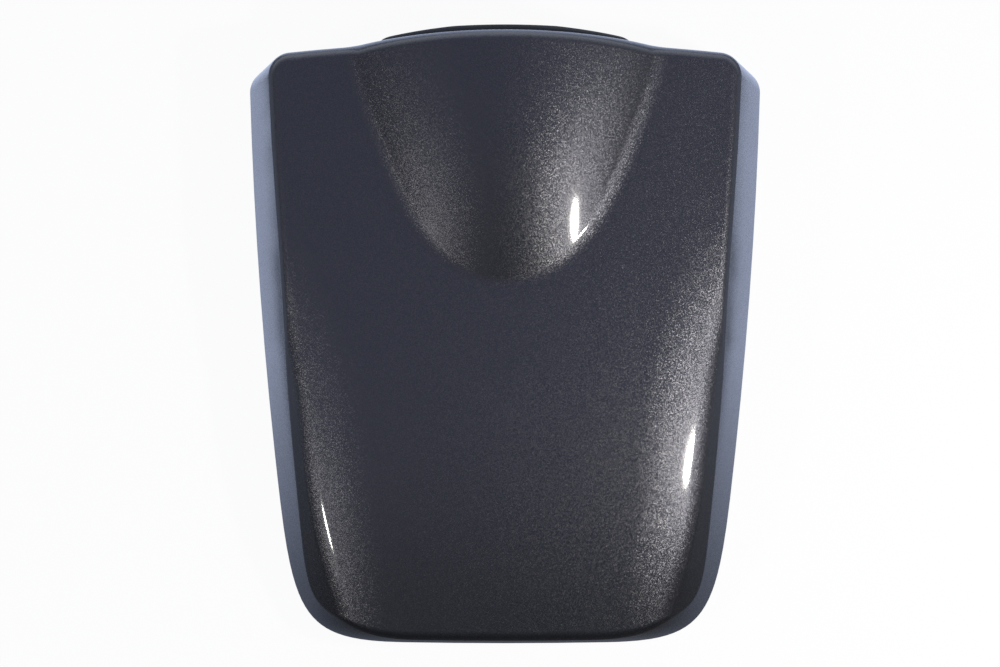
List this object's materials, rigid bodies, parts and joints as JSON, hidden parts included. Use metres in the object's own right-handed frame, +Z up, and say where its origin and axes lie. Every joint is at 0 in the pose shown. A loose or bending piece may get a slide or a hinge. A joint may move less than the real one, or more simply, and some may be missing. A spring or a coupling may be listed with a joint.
{
  "type": "motorbike seat cowl",
  "caption": "Painted hard cover that takes the place of a motorbike's pillion seat: crowned shell with a front hump and bump pad, closed below by a tray with hooks, feet and a lock striker.",
  "frame": {"origin": "under the middle of the whole cowl, on the plane of the shell's rim", "axes": "+X to the rider's right, +Y forwards, from the tail to the humped end, +Z up"},
  "size_m": [0.2866, 0.3304, 0.0745],
  "materials": {
    "paint": "charcoal metallic paint under clear coat",
    "pad_rubber": "fine grained",
    "tray_plastic": "moulded grain",
    "striker_steel": "zinc plated",
    "plated_steel": "zinc plated",
    "foot_rubber": "matt"
  },
  "bodies": {
    "root": {"cowl_shell": "paint", "bump_pad": "pad_rubber", "base_tray": "tray_plastic", "latch_striker": "striker_steel", "striker_bolts": "plated_steel", "striker_nuts": "plated_steel", "rest_damper_front_left": "foot_rubber", "rest_damper_front_right": "foot_rubber", "rest_damper_rear_left": "foot_rubber", "rest_damper_rear_right": "foot_rubber", "tray_screws": "plated_steel", "tray_washers": "plated_steel"}
  },
  "joints": []
}
